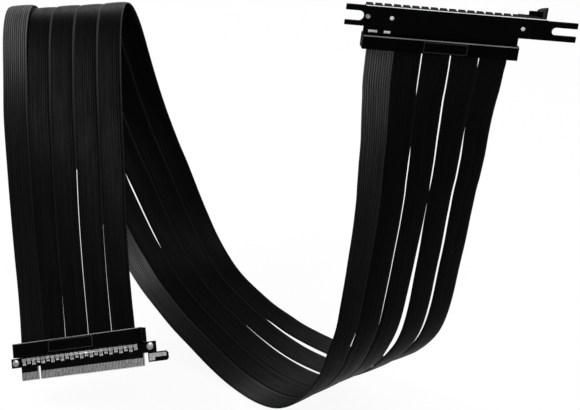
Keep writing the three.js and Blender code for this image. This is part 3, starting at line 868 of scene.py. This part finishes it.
# %% Lay the fingers on the card
contact_pitch = 1.0
finger_width = 0.62
finger_rise = 0.12
sides_of_board = (("front", -1), ("back", 1))


def finger_row(word, row, side):
    node = f"plug_contacts_{word}_{row}"
    low, high = local_box(node, plug_frame)
    count = round((high[0] - low[0]) / contact_pitch)
    first = (low[0] + high[0] - count * contact_pitch) / 2
    outlines = []
    for index in range(count):
        middle = first + (index + 0.5) * contact_pitch
        left = middle - finger_width / 2
        outlines.append(
            rounded_rectangle(left, left + finger_width, low[2], high[2], finger_width * 0.3)
        )
    y = sorted((side * board_half, side * (board_half + finger_rise)))
    mesh = plates_mesh(f"fingers_{word}_{row}", outlines, *y)
    dress(f"fingers_{word}_{row}", mesh, [plating], [node], place=plug_frame)
    return count


for word, side_sign in sides_of_board:
    counts = [finger_row(word, row, side_sign) for row in ("short", "long")]
    print("fingers on the", word, counts)

# %% [markdown]
# ## The soldered wire ends
# Under the plug's clamp the wires of the ribbons come out in groups. Their foil shields lie side
# by side, two thin bars join them, and below these each bare wire ends in a small mound of
# solder. No two ends are quite alike, so their lengths vary with a seeded random draw, which
# comes out the same in each run.

# %% Solder the wire ends
comb_pitch = 3.4
comb_slit = 0.9
wires_per_group = 3
shield_radius = 0.38
wire_radius = 0.2
group_step = 0.8
bare_length = 2.7
bar_drops = (0.9, 1.9)
bar_section = (0.12, 0.5)


def wire_ends(word, side):
    node = f"plug_solder_{word}"
    low, high = local_box(node, plug_frame)
    draw = np.random.default_rng(5 if side < 0 else 6)
    count = round((high[0] - low[0] + comb_slit) / comb_pitch)
    group = comb_pitch - comb_slit
    pitch = group / wires_per_group
    shape = bmesh.new()
    y = side * (board_half + shield_radius)
    for index in range(count):
        left = low[0] + index * comb_pitch
        bottom = low[2] + (index % 2) * group_step
        shield_end = high[2] - bare_length
        for wire in range(wires_per_group):
            x = left + (wire + 0.5) * pitch
            reach = draw.uniform(0.0, 0.7)
            add_rod(shape, x, y, shield_end + reach * 0.5, high[2] + 0.2, shield_radius)
            add_rod(shape, x, side * (board_half + wire_radius), bottom + 0.4, shield_end + 1,
                    wire_radius, 8)
            add_blob(shape, x, side * (board_half + 0.12), bottom + 0.7 + reach * 0.3,
                     (0.36, 0.30, 0.62 + 0.2 * reach))
    bar_y = side * (board_half + 2 * shield_radius - 0.05)
    for drop in bar_drops:
        middle = ((low[0] + high[0]) / 2, bar_y, high[2] - drop)
        add_block(shape, middle, (high[0] - low[0], *bar_section))
    mesh = bpy.data.meshes.new(f"wire_ends_{word}")
    shape.to_mesh(mesh)
    shape.free()
    mesh.shade_smooth()
    dress(f"wire_ends_{word}", mesh, [tinned], [node], place=plug_frame)
    return count


for word, side_sign in sides_of_board:
    print("groups of wires on the", word, wire_ends(word, side_sign))

# %% [markdown]
# ## Small things on the boards
# The hook at the plug's end has a plated patch with a bare window in it. The clamps' raised
# panels get a thin bead round them and stay bare inside. The two small parts beside the socket's
# clamp are ceramic blocks with tinned ends.

# %% Plate the hook
hook_width = 13.0
hook_height = 5.7
hook_foot = 2.1
hook_right = card_high[0]
hook_left = hook_right - hook_width
hook_low = card_low[2] + hook_foot
hook_high = hook_low + hook_height


def hook_plating(word, side):
    inset = 0.7
    window_left = hook_left + 4.6
    window_top = hook_low + 2.6
    outline = [
        (hook_left + inset, hook_low + inset),
        (window_left, hook_low + inset),
        (window_left, window_top),
        (hook_right - inset, window_top),
        (hook_right - inset, hook_high - 1.2),
        (hook_right - 1.6, hook_high - inset),
        (hook_left + inset, hook_high - inset),
    ]
    y = sorted((side * (board_half - 0.02), side * (board_half + 0.07)))
    mesh = plates_mesh(f"hook_plate_{word}", [outline[::-1]], *y)
    dress(f"hook_plate_{word}", mesh, [plating], place=plug_frame)


for word, side_sign in sides_of_board:
    hook_plating(word, side_sign)
print("plated patch of the hook, mm:", hook_width, "by", hook_height)

# %% A bead round the clamps' panels
bead = 0.32
bead_rise = 0.18
panel_margin = 1.0
panels = (("plug", plug_frame, -18, 13), ("socket", socket_frame, -9, 16))


def panel_trim(end, place, x_low, x_high, z_low, z_high, face):
    """A closed rectangular ring that stands on the panel's face, in mm."""
    outer = rounded_rectangle(x_low, x_high, z_low, z_high, 0.5)
    inner = rounded_rectangle(x_low + bead, x_high - bead, z_low + bead, z_high - bead, 0.25)
    count = len(outer)
    vertices = []
    for y in (face + 0.05, face - bead_rise):
        vertices += [(x * mm, y * mm, z * mm) for x, z in outer]
        vertices += [(x * mm, y * mm, z * mm) for x, z in inner]
    faces = []
    back_out, back_in, front_out, front_in = (row * count for row in range(4))
    for k in range(count):
        after = (k + 1) % count
        faces.append([front_out + k, front_out + after, front_in + after, front_in + k])
        faces.append([back_out + after, back_out + k, back_in + k, back_in + after])
        faces.append([back_out + k, back_out + after, front_out + after, front_out + k])
        faces.append([back_in + after, back_in + k, front_in + k, front_in + after])
    mesh = mesh_from(f"{end}_panel_bead", vertices, faces, smooth=False)
    dress(f"{end}_panel_bead", mesh, [worn_moulding], place=place)


for end, place, x_low, x_high in panels:
    low, high = local_box(f"{end}_clamp_front", place)
    panel_trim(end, place, x_low, x_high, low[2] + panel_margin, high[2] - panel_margin, low[1])
    print("panel on the", end, "bar, mm:", x_high - x_low)

# %% The two ceramic parts
cap_length = 0.9
cap_swell = 0.06
inset_share = 0.8


def ceramic_part(word):
    node = f"capacitor_{word}"
    low, high = local_box(node, socket_frame)
    body_inset = cap_length * inset_share
    stretches = [
        (low[0] + body_inset, high[0] - body_inset, 0.0, 0),
        (low[0], low[0] + cap_length, cap_swell, 1),
        (high[0] - cap_length, high[0], cap_swell, 1),
    ]
    shape = bmesh.new()
    for x_low, x_high, more, material_index in stretches:
        box_low = np.array([x_low, low[1] - more, low[2] - more])
        box_high = np.array([x_high, -board_half, high[2] + more])
        corners = add_block(shape, (box_low + box_high) / 2, box_high - box_low)
        for face in {face for vertex in corners for face in vertex.link_faces}:
            face.material_index = material_index
    mesh = bpy.data.meshes.new(f"ceramic_{word}")
    shape.to_mesh(mesh)
    shape.free()
    obj = dress(f"ceramic_{word}", mesh, [ceramic, tinned], [node], place=socket_frame)
    round_edges(obj, 0.12 * mm)
    return high[0] - low[0]


for word in ("long", "short"):
    print(word, "ceramic part, mm:", round(float(ceramic_part(word)), 2))

# %% [markdown]
# ## Springs in the slot
# Each contact of the slot is a strip of spring metal that leans out of its wall, bulges towards
# the card near the mouth and turns back. The rows in the solids only hold their place.

# %% Bend the springs
spring_width = 0.5
spring_thickness = 0.18
spring_points = 13
rest_height = 0.15
bulge_height = 0.95
bulge_at = 0.72
bulge_spread = 0.2


def spring_row(level, row, side):
    """A row of springs, each one profile in depth and height, drawn out across its width."""
    node = f"slot_contacts_{level}_{row}"
    low, high = local_box(node, socket_frame)
    count = round((high[0] - low[0]) / contact_pitch)
    first = (low[0] + high[0] - count * contact_pitch) / 2
    wall = high[2] if side > 0 else low[2]
    shares = np.linspace(0, 1, spring_points)
    depth = low[1] + (high[1] - low[1]) * shares
    bulge = rest_height + bulge_height * np.exp(-((shares - bulge_at) / bulge_spread) ** 2)
    inner = wall - side * (bulge + spring_thickness)
    outer = wall - side * bulge
    line = np.concatenate([np.stack([depth, inner], 1), np.stack([depth, outer], 1)[::-1]])
    points = len(line)
    vertices = []
    faces = []
    for index in range(count):
        middle = first + (index + 0.5) * contact_pitch
        start = len(vertices)
        for x in (middle - spring_width / 2, middle + spring_width / 2):
            vertices += [(x * mm, y * mm, z * mm) for y, z in line]
        for k in range(points):
            after = (k + 1) % points
            faces.append([start + k, start + after, start + points + after, start + points + k])
        for k in range(spring_points - 1):
            mirror = points - 1 - k
            faces.append([start + k, start + mirror, start + mirror - 1, start + k + 1])
            faces.append([start + points + k + 1, start + points + mirror - 1,
                          start + points + mirror, start + points + k])
    mesh = mesh_from(f"springs_{level}_{row}", vertices, faces, smooth=False)
    dress(f"springs_{level}_{row}", mesh, [spring_metal], [node], place=socket_frame)
    return count


for level, side_sign in (("lower", -1), ("upper", 1)):
    counts = [spring_row(level, row, side_sign) for row in ("short", "long")]
    print("springs on the", level, "wall:", counts)

# %% [markdown]
# ## The room
# The light is plain and soft: four square lamps and a pale sky. The strongest lamp stands low at
# the left with a weak one above it, another at the right fills the other side, and one behind
# draws the upper edges. A lamp's place is given by how far it is turned from the viewer and how
# high it stands, because that is how one would move it in a studio. The floor and the sky look
# white to the camera and in reflections, but they send less light to the object, so the black
# ribbons keep their depth. The floor keeps a faint shadow, because part of its colour is a plain
# diffuse one.


# %% Floor and sky
def seen_directly(place):
    """1 for rays from the camera, from a reflection or through something clear."""
    path = add_node(place, "ShaderNodeLightPath").outputs
    straight = reckoned(place, "MAXIMUM", path["Is Camera Ray"], path["Is Glossy Ray"])
    return reckoned(place, "MAXIMUM", straight, path["Is Transmission Ray"])


floor_size = 8.0
floor_drop = 0.5 * mm
floor_color = 0.8
floor_white = 0.93
sky_light = 0.45


def add_floor():
    below = (0, 0, solid_box[0][2] - floor_drop)
    bpy.ops.mesh.primitive_plane_add(size=floor_size, location=below)
    floor = bpy.context.object
    floor.name = "floor"
    material = bpy.data.materials.new("floor")
    material.use_nodes = True
    links = material.node_tree.links
    material.node_tree.nodes.clear()
    diffuse = add_node(material, "ShaderNodeBsdfDiffuse")
    diffuse.inputs["Color"].default_value = (floor_color, floor_color, floor_color, 1)
    white = add_node(material, "ShaderNodeEmission")
    white.inputs["Strength"].default_value = 1.0
    share_of_white = reckoned(material, "MULTIPLY", seen_directly(material), floor_white)
    mix = add_node(material, "ShaderNodeMixShader")
    output = add_node(material, "ShaderNodeOutputMaterial")
    links.new(share_of_white, mix.inputs["Fac"])
    links.new(diffuse.outputs[0], mix.inputs[1])
    links.new(white.outputs[0], mix.inputs[2])
    links.new(mix.outputs[0], output.inputs["Surface"])
    floor.data.materials.append(material)


def add_sky():
    world = bpy.data.worlds.new("sky")
    scene.world = world
    world.use_nodes = True
    background = world.node_tree.nodes["Background"]
    background.inputs["Color"].default_value = (1, 1, 1, 1)
    strength = ranged(world, seen_directly(world), sky_light, 1.0, 0.0, 1.0)
    world.node_tree.links.new(strength, background.inputs["Strength"])


add_floor()
add_sky()
print("floor at", round(solid_box[0][2] - floor_drop, 4), "m, sky's light:", sky_light)

# %% Lamps
lit_middle = Vector((-0.1, 0.1, -0.13))
lamp_distance = 1.4


def add_lamp(name, turn, rise, size, power):
    """A soft square lamp. Its turn is 0 at the viewer and grows to the right, in degrees."""
    data = bpy.data.lights.new(name, "AREA")
    data.shape = "SQUARE"
    data.size = size
    data.energy = power
    lamp = bpy.data.objects.new(name, data)
    scene.collection.objects.link(lamp)
    turn, rise = math.radians(turn), math.radians(rise)
    to_viewer = (camera_place - lit_middle).to_2d().normalized()
    to_right = Vector((-to_viewer.y, to_viewer.x))
    level = to_viewer * math.cos(turn) + to_right * math.sin(turn)
    out = Vector((level.x * math.cos(rise), level.y * math.cos(rise), math.sin(rise)))
    aim = (-out).to_track_quat("-Z", "Y").to_matrix().to_4x4()
    lamp.matrix_world = Matrix.Translation(lit_middle + out * lamp_distance) @ aim


lamps = [
    ("left lamp", -62, 36, 0.45, 14.0),
    ("high lamp", -78, 54, 0.6, 4.0),
    ("rear lamp", -165, 35, 0.6, 5.0),
    ("right lamp", 82, 52, 0.6, 8.0),
]
for lamp in lamps:
    add_lamp(*lamp)
print("lamps:", {name: power for name, *_, power in lamps})

# %% [markdown]
# ## The box of the solids
# The box that the solids fill, measured when they were imported.

# %% Print the box of the solids
print("solids:", [[round(x, 4) for x in corner] for corner in solid_box])
